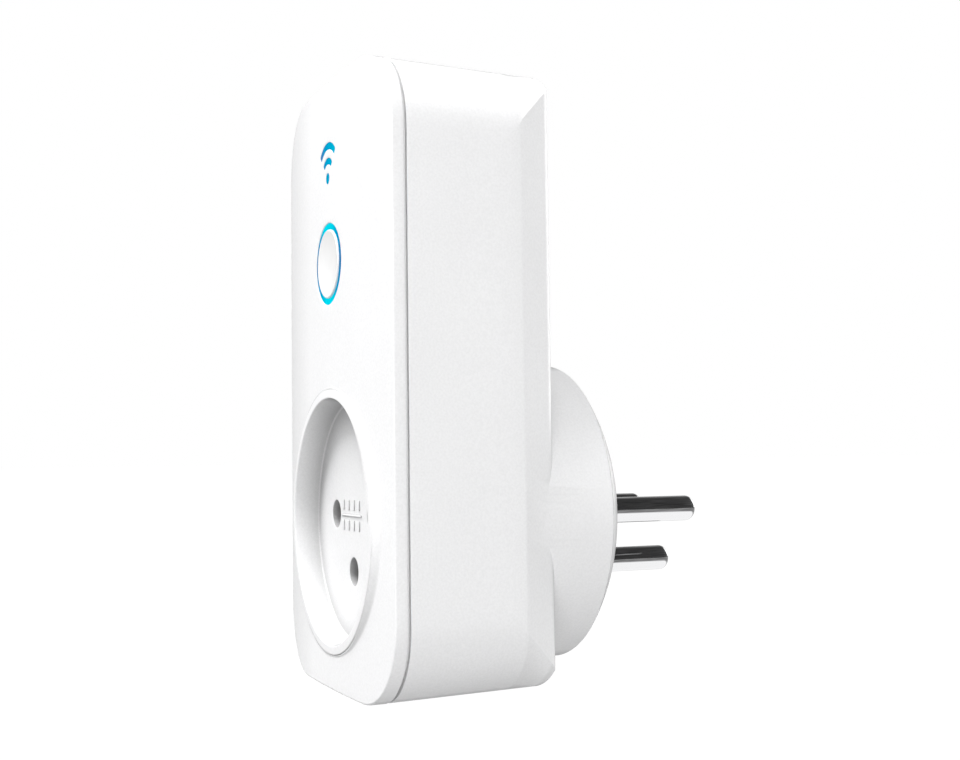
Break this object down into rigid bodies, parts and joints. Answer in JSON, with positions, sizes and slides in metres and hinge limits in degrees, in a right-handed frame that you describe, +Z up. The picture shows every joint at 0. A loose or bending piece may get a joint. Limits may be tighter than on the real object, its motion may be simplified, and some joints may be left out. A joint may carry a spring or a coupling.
{
  "type": "smart plug",
  "caption": "Smart plug with a round socket well, push button in a light ring and wireless sign on the front, and round pins on a collar at the back.",
  "frame": {"origin": "on the wall-contact face of the collar, midway between the line and neutral pins", "axes": "+Y into the wall outlet, +Z up, +X to the right of a person facing the front, which looks along -Y"},
  "size_m": [0.0572, 0.0657, 0.1032],
  "materials": {
    "housing_white": "satin white moulded housing with a fine grain",
    "button_white": "polished white",
    "ring_blue": "translucent blue light pipe",
    "sign_blue": "translucent blue light pipe",
    "pin_nickel": "polished nickel plating",
    "clip_brass": "bright stamped brass",
    "strap_copper": "tinned copper strip",
    "carrier_black": "glass-filled nylon",
    "board_green": "solder-masked laminate",
    "header_black": "moulded black",
    "gold_pin": "gold flash",
    "clear_film": "polyester sheet",
    "relay_case_blue": "moulded blue case",
    "coil_red": "enamelled copper winding",
    "steel": "zinc plated",
    "film_cap_yellow": "potted box",
    "can_dark": "printed sleeve",
    "ferrite": "sintered ferrite",
    "varistor_blue": "dipped epoxy",
    "fuse_glass": "ceramic tube",
    "chip_black": "moulded epoxy",
    "shield_tin": "tin plated",
    "led_white": "silicone lens"
  },
  "bodies": {
    "housing": {"carrier_screws": "steel", "case_screws": "steel", "clip_screws": "steel", "contact_carrier": "carrier_black", "control_board": "board_green", "control_board_screws": "steel", "earth_clip": "clip_brass", "earth_pin": "pin_nickel", "earth_strap": "strap_copper", "electrolytic_capacitors": "can_dark", "film_capacitor": "film_cap_yellow", "front_cover": "housing_white", "fuse": "fuse_glass", "header_block": "header_black", "header_pins": "gold_pin", "insulation_sheet": "clear_film", "light_ring": "ring_blue", "line_clip": "clip_brass", "line_pin": "pin_nickel", "line_strap": "strap_copper", "main_board": "board_green", "main_board_screws": "steel", "neutral_clip": "clip_brass", "neutral_pin": "pin_nickel", "neutral_strap": "strap_copper", "pin_carrier": "housing_white", "power_chip": "chip_black", "power_inductor": "ferrite", "radio_module": "board_green", "radio_shield": "shield_tin", "rear_housing": "housing_white", "rectifier": "chip_black", "relay_base": "header_black", "relay_case": "relay_case_blue", "relay_coil": "coil_red", "relay_fixed_contact": "clip_brass", "relay_yoke": "steel", "ring_leds": "led_white", "signal_led": "led_white", "signal_light_guide": "sign_blue", "socket_well": "housing_white", "switch_body": "header_black", "switch_dome": "steel", "varistor": "varistor_blue"},
    "button": {"button_cap": "button_white"},
    "plunger": {"switch_plunger": "chip_black"},
    "armature": {"relay_armature": "steel"}
  },
  "joints": [
    {"name": "button_press", "type": "slide", "parent": "housing", "child": "button", "axis": [0, 1, 0], "range_m": [0, 0.0003]},
    {"name": "plunger_press", "type": "slide", "parent": "housing", "child": "plunger", "axis": [0, 1, 0], "range_m": [0, 0.0003]},
    {"name": "armature_close", "type": "hinge", "parent": "housing", "child": "armature", "pos_m": [0.0095, -0.0327, 0.0489], "axis": [-1, 0, 0], "range_deg": [0, 3.5]}
  ],
  "couplings": [
    {"joint": "plunger_press", "follows": "button_press", "ratio": 1}
  ]
}
